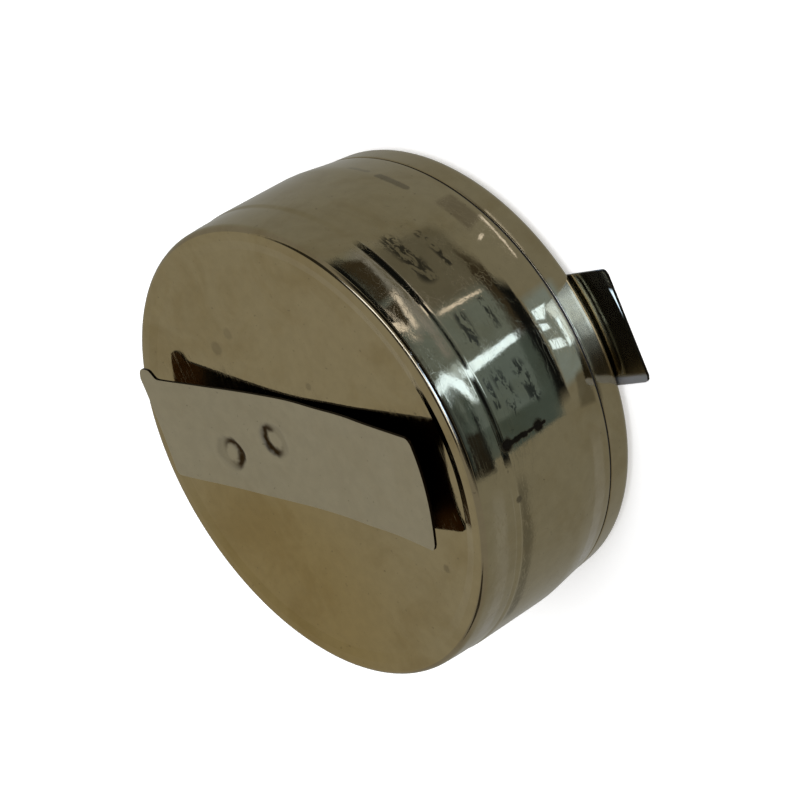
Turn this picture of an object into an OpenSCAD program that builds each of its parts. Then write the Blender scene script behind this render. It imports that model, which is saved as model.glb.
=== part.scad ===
// Thick lithium coin cell with a nickel tab welded to each face.
// The cell lies on its rear tab: the rear cover is at the bottom, the can's face on top.

/* [Cell] */
// Widest diameter of the can
cell_d = 24.2; // [24:0.1:24.5]
// Height from the rear face to the top of the front rim
cell_h = 10.5; // [10:0.1:12]
// How far the front rim stays inside the widest diameter
rim_inset = 0.1; // [0.05:0.01:0.2]

/* [Can] */
// Thickness of the can's sheet
can_t = 0.3; // [0.2:0.05:0.35]
// Height of the straight band behind the front rim
front_band_h = 2.15; // [1.8:0.05:2.6]
// Height of the step from that band out to the belly
step_h = 0.8; // [0.5:0.1:1.2]
// Radius of the step's two creases
step_r = 2; // [1:0.5:3]
// Width of the raised rim around the face
rim_w = 0.7; // [0.5:0.05:0.9]
// Depth of the face below the rim
face_sink = 0.12; // [0.05:0.01:0.2]
// Width of the slope from the rim down to the face
rim_slope = 0.15; // [0.1:0.05:0.3]
// Radius of the front rim's outer corner
corner_r = 0.42; // [0.35:0.01:0.55]
// How far crimping pressed the can's mouth in from the widest diameter
crimp_inset = 0.28; // [0.15:0.01:0.3]
// Height of the crimped band behind the mouth
crimp_h = 1.8; // [1.4:0.1:2.2]
// Radius of the soft crease between the belly and the crimped band
crease_r = 4; // [1:0.5:6]

/* [Rear cover] */
// Thickness of the cover's sheet
cover_t = 0.3; // [0.2:0.05:0.35]
// How far the cover's edge at the seam stays inside the can's widest diameter
cover_inset = 0.3; // [0.28:0.01:0.4]
// How much the cover's band narrows towards the rear face
cover_draft = 0.14; // [0.05:0.01:0.2]
// Radius of the cover's outer corner
cover_corner_r = 0.6; // [0.4:0.05:0.8]
// Height of the cover's band that shows behind the seam
band_h = 1.62; // [1.4:0.02:1.9]
// Height of the skirt that plugs into the can
skirt_h = 2.4; // [2.1:0.1:2.7]

/* [Seal ring] */
// Height of the seal's edge that shows as the seam
seam_h = 0.12; // [0.08:0.02:0.2]
// How far the seal's edge stays inside the can's mouth
seam_sink = 0.08; // [0.04:0.02:0.14]
// Thickness of the seal where the crimp squeezes it
seal_t = 0.25; // [0.2:0.01:0.3]
// Thickness of the seal across the skirt's end
seal_web = 0.4; // [0.3:0.05:0.6]
// Height of the seal's inner leg, inside the skirt
seal_leg_h = 1.2; // [0.8:0.1:1.4]
// Thickness of the seal's inner leg
seal_leg_t = 0.25; // [0.15:0.05:0.35]

/* [Electrodes] */
// Thickness of the lithium disc
lithium_t = 2.6; // [2:0.1:2.8]
// Gap around the lithium disc, inside the skirt
lithium_gap = 0.4; // [0.3:0.05:0.6]
// Thickness of the perforated disc under the lithium
grid_t = 0.1; // [0.06:0.01:0.15]
// Diameter of each hole in the perforated disc
grid_hole_d = 1.6; // [1:0.1:2]
// Distance between rings of holes
grid_pitch = 2.8; // [2.6:0.1:3.2]
// Plain border of the perforated disc
grid_border = 1; // [0.6:0.1:1.6]
// Thickness of the separator
separator_t = 0.2; // [0.1:0.05:0.3]
// Height of the separator's rim
separator_h = 1.4; // [1:0.1:1.6]
// Thickness of the ring at the pellet's front edge
ring_t = 0.2; // [0.1:0.05:0.25]
// Height of the ring around the pellet
ring_h = 3; // [2:0.1:4]
// Width of the ring's flange over the pellet
ring_flange = 2.4; // [1.5:0.1:4]

/* [Tabs] */
// Width of the front tab
front_tab_w = 5.85; // [5:0.05:6.2]
// Width of the rear tab
rear_tab_w = 5.76; // [5:0.02:6.2]
// Thickness of both tabs
tab_t = 0.15; // [0.1:0.01:0.2]
// Turn of the front tab from the rear one
front_tab_turn = -13.8; // [-30:0.1:0]
// Distance of the front tab's middle line from the cell's axis
front_tab_shift = 0.1; // [0:0.1:1]
// Distance of the front tab's weld end from the front rim
near_margin = 1.55; // [1:0.05:2.2]
// Distance of the front tab's free end from the front rim
far_margin = 2.7; // [1:0.05:3]
// Height of the weld end above the face
near_lift = 1; // [0.6:0.05:1.2]
// Height of the free end above the face
far_lift = 1; // [0.6:0.05:1.4]
// Length of the straight stretch at the weld end
near_tip_l = 5.9; // [5.9:0.1:6.4]
// Length of the straight tip at the free end
far_tip_l = 3; // [2.4:0.1:3.4]
// Distance of the rear tab's middle line from the cell's axis
rear_tab_shift = 0.84; // [0:0.02:1]
// Reach of the rear tab's free end past the cover's rim
rear_overhang = 1.6; // [1:0.05:4]
// Length of the rear tab
rear_tab_l = 19.45; // [17:0.05:22]
// Corner radius of both tabs
tab_corner_r = 0.35; // [0.1:0.05:0.6]

/* [Spot welds] */
// Distance between the two spots, along the tab
weld_pitch = 3.55; // [3.4:0.05:4.2]
// Distance of the first front spot from the tab's weld end
front_weld_gap = 4.95; // [4.2:0.05:5]
// Offset between the two front spots, across the tab
weld_stagger = 1.3; // [0:0.05:2]
// Distance of the front spots from the tab's middle line
front_weld_side = 0.2; // [0:0.05:0.8]
// Distance of the first rear spot from the cover's rim, along the tab
rear_weld_gap = 5.05; // [4:0.05:5.4]
// Diameter of the groove that the electrode pressed
weld_d = 1.1; // [0.8:0.05:1.3]
// Radius of the groove's round section
weld_groove_r = 0.35; // [0.25:0.01:0.38]
// Depth of the groove
weld_depth = 0.06; // [0.02:0.01:0.08]

/* [Hidden] */
$fn = 96;

// Small clearance between round pieces that are pressed together
press_gap = 0.02;
// Steps of each rounded corner in a section
corner_steps = 6;
// Radius of a sheet's trimmed edge
trim_r = 0.08;
// Radius inside a bend of the cover
bend_r = 0.12;
// Overlap of a cut past the face that it opens
cut_over = 1;
// Radius of the pellet's edges
pellet_edge_r = 0.2;
// Plain metal kept around each weld groove
weld_edge = 0.35;
// Steps of each bend in the front tab
bend_steps = 10;

// Heights, from the underside of the rear tab
rear_z = tab_t;
rim_z = rear_z + cell_h;
face_z = rim_z - face_sink;
floor_z = face_z - can_t;
step_z = rim_z - front_band_h;
belly_z = step_z - step_h;
band_z = rear_z + band_h;
mouth_z = band_z + seam_h;
crimp_z = mouth_z + crimp_h;
skirt_z = band_z + skirt_h;
seal_top_z = skirt_z + seal_web;
seal_leg_z = skirt_z - seal_leg_h;
grid_z = rear_z + cover_t;
lithium_z = grid_z + grid_t;
separator_z = lithium_z + lithium_t;
pellet_z = separator_z + separator_t;

// Radii, from the cell's axis
belly_r = cell_d / 2;
rim_r = belly_r - rim_inset;
cover_r = belly_r - cover_inset;
mouth_r = belly_r - crimp_inset;
skirt_r = mouth_r - can_t - seal_t - 2 * press_gap;
skirt_in_r = skirt_r - cover_t;
seal_leg_r = skirt_in_r - press_gap - seal_leg_t;
separator_r = seal_leg_r - press_gap;
pellet_r = separator_r - separator_t - press_gap;
ring_out_r = pellet_r + press_gap + ring_t;
lithium_r = skirt_in_r - lithium_gap;
grid_r = lithium_r;
grid_rings = floor((grid_r - grid_border - grid_hole_d / 2) / grid_pitch);

// Points of the arc that rounds corner b, between the edges to a and to c
function corner_arc(a, b, c, r) =
    let (u = (a - b) / norm(a - b),
         v = (c - b) / norm(c - b),
         half = acos(u * v) / 2,
         o = b + (u + v) / norm(u + v) * r / sin(half),
         p = b + u * r / tan(half) - o,
         q = b + v * r / tan(half) - o,
         start = atan2(p[1], p[0]),
         turn = atan2(q[1], q[0]) - start,
         sweep = turn > 180 ? turn - 360 : turn < -180 ? turn + 360 : turn)
    [for (i = [0:corner_steps]) o + r * [cos(start + sweep * i / corner_steps), sin(start + sweep * i / corner_steps)]];

// A closed outline from a list of [x, y, corner radius]
function rounded(corners) =
    let (n = len(corners), flat = [for (p = corners) [p[0], p[1]]])
    [for (i = [0:n - 1]) each corners[i][2] <= 0 ? [flat[i]]
        : corner_arc(flat[(i + n - 1) % n], flat[i], flat[(i + 1) % n], corners[i][2])];

// Places along the front tab: its ends, its two spots, its flat pad at the second spot and its bends
near_end = rim_r - near_margin;
far_end = rim_r - far_margin;
front_spots = [-near_end + front_weld_gap, -near_end + front_weld_gap + weld_pitch];
pad_near = front_spots[1] - weld_d / 2 - weld_edge;
pad_far = front_spots[1] + weld_d / 2 + weld_edge;
near_run = pad_near + near_end - near_tip_l;
far_run = far_end - far_tip_l - pad_far;
near_slope = near_lift / (near_run / 2 + near_tip_l);
far_slope = far_lift / (far_run / 2 + far_tip_l);
// The strip has come off the face at its first spot, which lies on the straight stretch
first_spot_lift = near_lift - near_slope * front_weld_gap;

// Places along the rear tab: its free end and its two spots
rear_end = cover_r + rear_overhang;
rear_spots = [cover_r - rear_weld_gap, cover_r - rear_weld_gap - weld_pitch];

module can() {
    section = rounded([
        [mouth_r, mouth_z, trim_r],
        [belly_r, crimp_z, crease_r],
        [belly_r, belly_z, step_r],
        [rim_r, step_z, step_r],
        [rim_r, rim_z, corner_r],
        [rim_r - rim_w, rim_z, trim_r],
        [rim_r - rim_w - rim_slope, face_z, trim_r],
        [0, face_z, 0],
        [0, floor_z, 0],
        [rim_r - can_t, floor_z, bend_r],
        [rim_r - can_t, step_z, step_r],
        [belly_r - can_t, belly_z, step_r],
        [belly_r - can_t, crimp_z, crease_r],
        [mouth_r - can_t, mouth_z, trim_r]
    ]);
    color([0.62, 0.59, 0.5]) rotate_extrude() polygon(section);
}

module seal_ring() {
    out_r = belly_r - can_t - press_gap;
    leg_out_r = skirt_in_r - press_gap;
    section = rounded([
        [skirt_r + press_gap, band_z, trim_r],
        [mouth_r - seam_sink, band_z, 0],
        [mouth_r - seam_sink, mouth_z, 0],
        [mouth_r - can_t - press_gap, mouth_z, 0],
        [out_r, crimp_z, crease_r],
        [out_r, seal_top_z, trim_r],
        [seal_leg_r, seal_top_z, trim_r],
        [seal_leg_r, seal_leg_z, trim_r],
        [leg_out_r, seal_leg_z, trim_r],
        [leg_out_r, skirt_z, 0],
        [skirt_r + press_gap, skirt_z, 0]
    ]);
    color([0.1, 0.1, 0.11]) rotate_extrude() polygon(section);
}

module rear_cover() {
    section = rounded([
        [0, rear_z, 0],
        [cover_r - cover_draft, rear_z, cover_corner_r],
        [cover_r, band_z, trim_r],
        [skirt_r, band_z, trim_r],
        [skirt_r, skirt_z, trim_r],
        [skirt_in_r, skirt_z, trim_r],
        [skirt_in_r, band_z - cover_t, bend_r],
        [cover_r - cover_t, band_z - cover_t, bend_r],
        [cover_r - cover_draft - cover_t, rear_z + cover_t, bend_r],
        [0, rear_z + cover_t, 0]
    ]);
    color([0.6, 0.58, 0.5]) rotate_extrude() polygon(section);
}

module cathode_ring() {
    section = rounded([
        [ring_out_r, floor_z - ring_h, 0],
        [ring_out_r, floor_z, bend_r],
        [ring_out_r - ring_flange, floor_z, 0],
        [ring_out_r - ring_flange, floor_z - ring_t, 0],
        [ring_out_r - ring_t, floor_z - ring_t, 0],
        [ring_out_r - ring_t, floor_z - ring_h, 0]
    ]);
    color([0.7, 0.7, 0.72]) rotate_extrude() polygon(section);
}

module cathode_pellet() {
    boss_r = ring_out_r - ring_flange - press_gap;
    section = rounded([
        [0, pellet_z, 0],
        [pellet_r, pellet_z, pellet_edge_r],
        [pellet_r, floor_z - ring_t, pellet_edge_r],
        [boss_r, floor_z - ring_t, 0],
        [boss_r, floor_z, 0],
        [0, floor_z, 0]
    ]);
    color([0.16, 0.16, 0.17]) rotate_extrude() polygon(section);
}

module separator() {
    section = rounded([
        [0, separator_z, 0],
        [separator_r, separator_z, trim_r],
        [separator_r, pellet_z + separator_h, 0],
        [separator_r - separator_t, pellet_z + separator_h, 0],
        [separator_r - separator_t, pellet_z, 0],
        [0, pellet_z, 0]
    ]);
    color([0.92, 0.92, 0.88]) rotate_extrude() polygon(section);
}

module lithium_disc() {
    color([0.78, 0.78, 0.8]) translate([0, 0, lithium_z]) cylinder(h = lithium_t, r = lithium_r);
}

// Disc with a middle hole and rings of 6, 12, 18 holes around it
module anode_grid() {
    color([0.7, 0.7, 0.68])
    translate([0, 0, grid_z])
    linear_extrude(height = grid_t)
    difference() {
        circle(r = grid_r);
        circle(d = grid_hole_d, $fn = 32);
        for (ring = [1:grid_rings]) {
            count = 6 * ring;
            for (hole = [1:count]) {
                rotate(hole * 360 / count) translate([ring * grid_pitch, 0]) circle(d = grid_hole_d, $fn = 32);
            }
        }
    }
}

// Round groove that a welding electrode pressed, opening upwards at z = 0
module weld_groove() {
    translate([0, 0, weld_groove_r - weld_depth])
    rotate_extrude()
    translate([weld_d / 2, 0])
    circle(r = weld_groove_r, $fn = 32);
}

// The bent strip is its side view, extruded across its width and trimmed to its plan
module front_tab() {
    under = [
        [-near_end, near_lift],
        for (i = [bend_steps:-1:0])
            [pad_near - near_run * i / bend_steps, near_slope * near_run * pow(i / bend_steps, 2) / 2],
        for (i = [0:bend_steps])
            [pad_far + far_run * i / bend_steps, far_slope * far_run * pow(i / bend_steps, 2) / 2],
        [far_end, far_lift]
    ];
    last = len(under) - 1;
    side = concat(under, [for (i = [0:last]) under[last - i] + [0, tab_t]]);
    plan = rounded([
        [-near_end, front_tab_w / 2, tab_corner_r],
        [-near_end, -front_tab_w / 2, tab_corner_r],
        [far_end, -front_tab_w / 2, tab_corner_r],
        [far_end, front_tab_w / 2, tab_corner_r]
    ]);
    color([0.66, 0.63, 0.54])
    translate([0, 0, face_z])
    rotate([0, 0, front_tab_turn])
    translate([0, front_tab_shift, 0])
    difference() {
        intersection() {
            rotate([90, 0, 0])
            linear_extrude(height = front_tab_w + cut_over, center = true)
            polygon(side);
            translate([0, 0, -cut_over])
            linear_extrude(height = max(near_lift, far_lift) + 3 * cut_over)
            polygon(plan);
        }
        translate([front_spots[0], -weld_stagger / 2 - front_weld_side, tab_t + first_spot_lift])
        rotate([0, atan(near_slope), 0])
        weld_groove();
        translate([front_spots[1], weld_stagger / 2 - front_weld_side, tab_t])
        weld_groove();
    }
}

module rear_tab() {
    near = rear_end - rear_tab_l;
    low = rear_tab_shift - rear_tab_w / 2;
    high = rear_tab_shift + rear_tab_w / 2;
    plan = rounded([
        [near, low, tab_corner_r],
        [rear_end, low, tab_corner_r],
        [rear_end, high, tab_corner_r],
        [near, high, tab_corner_r]
    ]);
    color([0.64, 0.61, 0.52])
    difference() {
        linear_extrude(height = tab_t) polygon(plan);
        for (spot = [0, 1]) {
            translate([rear_spots[spot], rear_tab_shift, 0])
            mirror([0, 0, 1])
            weld_groove();
        }
    }
}

can();
seal_ring();
rear_cover();
cathode_ring();
cathode_pellet();
separator();
lithium_disc();
anode_grid();
front_tab();
rear_tab();
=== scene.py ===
import math

import bmesh
import bpy
import numpy as np
from mathutils import Matrix, Vector


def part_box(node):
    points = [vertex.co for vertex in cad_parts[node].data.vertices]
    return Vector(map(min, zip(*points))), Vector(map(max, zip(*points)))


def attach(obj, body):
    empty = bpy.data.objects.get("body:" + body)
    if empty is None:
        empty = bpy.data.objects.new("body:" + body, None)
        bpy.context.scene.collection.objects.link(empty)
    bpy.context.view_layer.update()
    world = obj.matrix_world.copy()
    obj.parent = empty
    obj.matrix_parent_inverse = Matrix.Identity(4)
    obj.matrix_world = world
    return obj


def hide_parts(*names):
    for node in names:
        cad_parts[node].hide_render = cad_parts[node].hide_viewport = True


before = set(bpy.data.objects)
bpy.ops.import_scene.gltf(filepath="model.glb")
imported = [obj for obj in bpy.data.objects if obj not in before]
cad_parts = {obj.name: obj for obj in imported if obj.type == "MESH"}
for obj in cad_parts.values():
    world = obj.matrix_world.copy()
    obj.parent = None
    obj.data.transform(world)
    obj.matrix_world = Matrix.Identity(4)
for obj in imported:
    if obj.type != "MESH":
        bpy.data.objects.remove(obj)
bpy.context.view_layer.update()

# The camera looks down at the cell from the side of the rear tab's free end. It is rolled so
# that the cell seems to stand on its rim, with the face to the left, as in the photograph.
VIEW_AZIMUTH = math.radians(14.691)
VIEW_ELEVATION = math.radians(34.317)
VIEW_UP = Vector((0.06504, 0.90181, -0.42722))
VIEW_AIM = Vector((0.000471, 0.000050, 0.004564))
VIEW_DISTANCE = 0.16142
VIEW_LENS = 148.5
SENSOR_WIDTH = 36
NEAREST_SEEN = 0.001
FURTHEST_SEEN = 10

back = Vector((
    math.cos(VIEW_AZIMUTH) * math.cos(VIEW_ELEVATION),
    math.sin(VIEW_AZIMUTH) * math.cos(VIEW_ELEVATION),
    math.sin(VIEW_ELEVATION),
))
right = VIEW_UP.cross(back).normalized()
up = back.cross(right)
camera_data = bpy.data.cameras.new("camera")
camera_data.lens = VIEW_LENS
camera_data.sensor_width = SENSOR_WIDTH
camera_data.clip_start = NEAREST_SEEN
camera_data.clip_end = FURTHEST_SEEN
camera = bpy.data.objects.new("camera", camera_data)
camera_place = VIEW_AIM + back * VIEW_DISTANCE
camera.matrix_world = Matrix((
    (right.x, up.x, back.x, camera_place.x),
    (right.y, up.y, back.y, camera_place.y),
    (right.z, up.z, back.z, camera_place.z),
    (0, 0, 0, 1),
))
bpy.context.scene.collection.objects.link(camera)
bpy.context.scene.camera = camera

# A pale floor under the cell, and an even white room. Seen directly, and mirrored in the
# metal, both are white, and the cell's own shadow stays on the floor.
FLOOR_SIZE = 6.0
FLOOR_COLOUR = (0.86, 0.86, 0.86, 1)
FLOOR_GLOW = 0.45
ROOM_LIGHT = 0.6


def new_tree(name):
    """A new material and its emptied node tree."""
    material = bpy.data.materials.new(name)
    material.use_nodes = True
    material.node_tree.nodes.clear()
    return material, material.node_tree


def add(tree, kind, **values):
    """Adds a node. A word after in_ names one of its sockets, other words are its settings."""
    node = tree.nodes.new("ShaderNode" + kind)
    for key, value in values.items():
        if key.startswith("in_"):
            name = key[3:].replace("_", " ")
            node.inputs[int(name) if name.isdigit() else name].default_value = value
        else:
            setattr(node, key, value)
    return node


def join(tree, source, socket, target, name):
    """Links one node's output to another node's input, by name or number."""
    tree.links.new(source.outputs[socket], target.inputs[name])


def math_node(tree, operation, first, second=None):
    """A Math node whose inputs are numbers or (node, socket) pairs."""
    node = add(tree, "Math", operation=operation)
    for place, value in enumerate((first, second)):
        if isinstance(value, tuple):
            join(tree, value[0], value[1], node, place)
        elif value is not None:
            node.inputs[place].default_value = value
    return node


def white_when_seen(tree, strength):
    """A strength that only the camera, mirrors and glass see."""
    path = add(tree, "LightPath")
    either = math_node(tree, "MAXIMUM", (path, "Is Camera Ray"), (path, "Is Glossy Ray"))
    seen = math_node(tree, "MAXIMUM", (either, 0), (path, "Is Transmission Ray"))
    return math_node(tree, "MULTIPLY", (seen, 0), strength)


half = FLOOR_SIZE / 2
floor = bpy.data.objects.new("floor", bpy.data.meshes.new("floor"))
floor_corners = [(-half, -half, 0), (half, -half, 0), (half, half, 0), (-half, half, 0)]
floor.data.from_pydata(floor_corners, [], [(0, 1, 2, 3)])
bpy.context.scene.collection.objects.link(floor)
floor_material, tree = new_tree("floor_white")
shader = add(tree, "BsdfPrincipled", in_Base_Color=FLOOR_COLOUR, in_Roughness=1,
             in_Specular_IOR_Level=0, in_Emission_Color=(1, 1, 1, 1))
join(tree, white_when_seen(tree, FLOOR_GLOW), 0, shader, "Emission Strength")
join(tree, shader, 0, add(tree, "OutputMaterial"), "Surface")
floor.data.materials.append(floor_material)

world = bpy.data.worlds.new("room")
world.use_nodes = True
tree = world.node_tree
tree.nodes.clear()
strength = math_node(tree, "ADD", (white_when_seen(tree, 1 - ROOM_LIGHT), 0), ROOM_LIGHT)
room = add(tree, "Background", in_Color=(1, 1, 1, 1))
join(tree, strength, 0, room, "Strength")
join(tree, room, 0, add(tree, "OutputWorld"), "Surface")
bpy.context.scene.world = world
bpy.context.scene.view_settings.view_transform = "Standard"

# Studio lamp: one large soft square above the cell. It lights the cell evenly and gives it its
# soft shadow on the floor, and the metal doesn't mirror it.
LAMP_SIZE = 0.3
LAMP_WATTS = 0.8
LAMP_PLACE = (0.08, 0.1, 0.34)
lamp_data = bpy.data.lights.new("lamp_over", "AREA")
lamp_data.size = LAMP_SIZE
lamp_data.energy = LAMP_WATTS
lamp = bpy.data.objects.new("lamp_over", lamp_data)
lamp.location = LAMP_PLACE
lamp.rotation_mode = "QUATERNION"
lamp.rotation_quaternion = (-lamp.location).to_track_quat("-Z", "Y")
lamp.visible_glossy = False
bpy.context.scene.collection.objects.link(lamp)

# Can: the cup that makes the face and the wall down to the seam. It is deep drawn from thin
# steel sheet, nickel plated, and crimped inwards at its mouth over the seal and the cover.
MM = 0.001
SHEET = 0.3 * MM
RIM_INSET = 0.1 * MM
RIM_DRAFT = 0.03 * MM
CREASE_Z = 8.43 * MM
CREASE_HEIGHT = 0.26 * MM
CREASE_BEND = 0.7 * MM
CREASE_INSET = 0.06 * MM
BAND_TURN_Z = 9.3 * MM
BAND_BEND = 19 * MM
CAN_CRIMP = 2 * MM
CAN_CREASE = 5 * MM
CRIMP_INSET = 0.28 * MM
RIM_WIDTH = 0.7 * MM
RIM_SLOPE = 0.5 * MM
RIM_CORNER = 0.34 * MM
FACE_SINK = 0.12 * MM
TRIM_EDGE = 0.06 * MM
WALL_STEP = 0.2 * MM
FACE_STEP = 0.4 * MM
HIDDEN_STEP = 2 * MM
WALL_WAVE = 0.012 * MM
FACE_WAVE = 0.012 * MM
FACE_WAVE_FADE = 3 * MM
ROUND_STEPS = 8
AROUND = 360
# The wall's ripples, as (share, waves round the cell, phase, height for each radian).
WALL_RIPPLES = ((0.4, 2, 0.6, math.inf), (0.25, 5, 2, 1.7 * MM), (0.2, 11, 1, -2.3 * MM),
                (0.15, 17, 4, 0.9 * MM))

can_low, can_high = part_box("can")
cover_low, cover_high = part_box("rear_cover")
belly_r = can_high.x - WALL_WAVE
rim_r = belly_r - RIM_INSET - RIM_DRAFT
mouth_r = belly_r - CRIMP_INSET
mouth_z = can_low.z
rim_z = can_high.z
face_z = rim_z - FACE_SINK
band_end_z = CREASE_Z + CREASE_HEIGHT / 2
belly_z = CREASE_Z - CREASE_HEIGHT / 2
crimp_z = mouth_z + CAN_CRIMP


def round_corner(before, corner, after, radius):
    """The arc that rounds one corner of a section."""
    corner = Vector(corner)
    to_before = (Vector(before) - corner).normalized()
    to_after = (Vector(after) - corner).normalized()
    half = math.acos(to_before.dot(to_after)) / 2
    centre = corner + (to_before + to_after).normalized() * radius / math.sin(half)
    start = corner + to_before * radius / math.tan(half) - centre
    end = corner + to_after * radius / math.tan(half) - centre
    first = math.atan2(start.y, start.x)
    sweep = (math.atan2(end.y, end.x) - first + math.pi) % (2 * math.pi) - math.pi
    turns = [first + sweep * i / ROUND_STEPS for i in range(ROUND_STEPS + 1)]
    return [centre + Vector((math.cos(turn), math.sin(turn))) * radius for turn in turns]


def section_line(corners):
    """A section through [r, z, radius, step] corners, cut into steps along its straights."""
    line = []
    count = len(corners)
    for i, (r, z, radius, step) in enumerate(corners):
        own = [Vector((r, z))]
        if radius and 0 < i < count - 1:
            own = round_corner(corners[i - 1][:2], (r, z), corners[i + 1][:2], radius)
        if line:
            start = line[-1]
            pieces = max(1, round((own[0] - start).length / step))
            line += [start.lerp(own[0], k / pieces) for k in range(1, pieces)]
        line += own
    return line


def new_piece(name, vertices, faces):
    """A smooth, closed mesh piece with its normals outwards."""
    mesh = bpy.data.meshes.new(name)
    mesh.from_pydata(vertices, [], faces)
    work = bmesh.new()
    work.from_mesh(mesh)
    bmesh.ops.remove_doubles(work, verts=work.verts, dist=0.001 * MM)
    bmesh.ops.recalc_face_normals(work, faces=work.faces)
    for face in work.faces:
        face.smooth = True
    work.to_mesh(mesh)
    work.free()
    piece = bpy.data.objects.new(name, mesh)
    bpy.context.scene.collection.objects.link(piece)
    return piece


def spin(name, line, shape=None):
    """Turns a section round the cell's axis. shape moves its points before they are joined."""
    turns = np.arange(AROUND) * 2 * np.pi / AROUND
    r = np.array([p.x for p in line])[:, None]
    z = np.array([p.y for p in line])[:, None]
    points = np.stack([r * np.cos(turns), r * np.sin(turns), z + 0 * turns], -1)
    if shape:
        points = shape(points, r, z, turns)
    around = np.arange(AROUND)
    after = (around + 1) % AROUND
    faces = []
    for row in range(len(line) - 1):
        low, high = row * AROUND, (row + 1) * AROUND
        faces += np.stack([low + around, low + after, high + after, high + around], -1).tolist()
    return new_piece(name, points.reshape(-1, 3).tolist(), faces)


def ripples(table, turns, z):
    """The sum of slow waves round the cell."""
    return sum(share * np.sin(waves * turns + phase + z / pitch)
               for share, waves, phase, pitch in table)


def can_waves(points, r, z, turns):
    """Drawn and crimped sheet is never true: slow ripples round the wall and over the face."""
    wave = WALL_WAVE * ripples(WALL_RIPPLES, turns, z)
    points[..., :2] *= (1 + wave / belly_r)[..., None]
    x, y = points[..., 0] / MM, points[..., 1] / MM
    swell = 0.5 * np.sin(0.31 * x + 0.5) * np.sin(0.27 * y + 1)
    swell += 0.3 * np.sin(0.7 * x - 0.5 * y + 2)
    inside = np.clip((belly_r - 2 * RIM_WIDTH - r) / FACE_WAVE_FADE, 0, 1)
    points[..., 2] += FACE_WAVE * inside * swell
    return points


can_line = section_line([
    (0, face_z, 0, FACE_STEP),
    (rim_r - RIM_WIDTH - RIM_SLOPE, face_z, TRIM_EDGE, FACE_STEP),
    (rim_r - RIM_WIDTH, rim_z, 2 * TRIM_EDGE, WALL_STEP),
    (rim_r, rim_z, RIM_CORNER, WALL_STEP),
    (belly_r - CREASE_INSET, BAND_TURN_Z, BAND_BEND, WALL_STEP),
    (belly_r - CREASE_INSET, band_end_z, CREASE_BEND, WALL_STEP),
    (belly_r, belly_z, CREASE_BEND, WALL_STEP),
    (belly_r, crimp_z, CAN_CREASE, WALL_STEP),
    (mouth_r, mouth_z, TRIM_EDGE, WALL_STEP),
    (mouth_r - SHEET, mouth_z, TRIM_EDGE, WALL_STEP),
    (belly_r - SHEET, crimp_z, CAN_CREASE, HIDDEN_STEP),
    (belly_r - SHEET, belly_z, CREASE_BEND, HIDDEN_STEP),
    (belly_r - CREASE_INSET - SHEET, band_end_z, CREASE_BEND, HIDDEN_STEP),
    (rim_r - SHEET, face_z - SHEET, RIM_CORNER - SHEET, HIDDEN_STEP),
    (0, face_z - SHEET, 0, HIDDEN_STEP),
])
can = spin("can_drawn", can_line, can_waves)

# Colours of the plated metal, and of what tarnish, dirt and handling leave on it.
NICKEL = (0.42, 0.355, 0.22, 1)
TARNISH = (0.3, 0.225, 0.1, 1)
SPECK = (0.06, 0.045, 0.03, 1)
SOOT = (0.03, 0.022, 0.014, 1)
WORN_DARK = (0.045, 0.04, 0.028, 1)
# Sizes of the plating's marks, as noise cells in each millimetre.
CLOUD_CELLS = 0.25
GRAIN_CELLS = 1.6
SPECK_CELLS = 4.2
SCRATCH_CELLS = 2.2
SCRATCHED_PATCH_CELLS = 0.45
SMEAR_CELLS = 0.7
PEEL_CELLS = 1.3
PORE_CELLS = 9
PLATING_RELIEF = 0.02 * MM
# Each set of hairline scratches, as its turn and how far it is drawn out.
SCRATCHES = ((0.5, 0.09), (1.9, 0.05), (2.7, 0.12))


def new_group(name, inputs, outputs):
    """A shader node group with named sockets, its tree, and its first and last node."""
    tree = bpy.data.node_groups.new(name, "ShaderNodeTree")
    for socket, value in inputs.items():
        kind = {3: "Vector", 4: "Color"}[len(value)] if isinstance(value, tuple) else "Float"
        made = tree.interface.new_socket(socket, in_out="INPUT", socket_type="NodeSocket" + kind)
        made.default_value = value
    for socket, kind in outputs.items():
        tree.interface.new_socket(socket, in_out="OUTPUT", socket_type="NodeSocket" + kind)
    return tree, tree.nodes.new("NodeGroupInput"), tree.nodes.new("NodeGroupOutput")


def add_group(tree, group, values):
    """Places a node group with its own values."""
    node = tree.nodes.new("ShaderNodeGroup")
    node.node_tree = group
    for socket, value in values.items():
        node.inputs[socket].default_value = value
    return node


def in_millimetres(tree):
    """The surface's own place on the cell, in millimetres."""
    coords = add(tree, "TexCoord")
    scaled = add(tree, "VectorMath", operation="SCALE", in_Scale=1000)
    join(tree, coords, "Object", scaled, 0)
    return scaled


def noise_on(tree, coords, cells, detail=4.0, rough=0.5, stretch=(1, 1, 1), turn=(0, 0, 0),
             twist=0.0):
    """Noise that is 0 to 1, on stretched and turned coordinates."""
    mapping = add(tree, "Mapping", in_Scale=stretch, in_Rotation=turn)
    join(tree, coords, 0, mapping, "Vector")
    noise = add(tree, "TexNoise", in_Scale=cells, in_Detail=detail, in_Roughness=rough,
                in_Distortion=twist)
    join(tree, mapping, 0, noise, "Vector")
    return noise


def ramp(tree, source, socket, low, high, to_low=0.0, to_high=1.0):
    """A clamped, eased step from to_low to to_high, where the source goes from low to high."""
    node = add(tree, "MapRange", interpolation_type="SMOOTHSTEP", in_1=low, in_2=high,
               in_3=to_low, in_4=to_high)
    join(tree, source, socket, node, 0)
    return node


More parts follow.
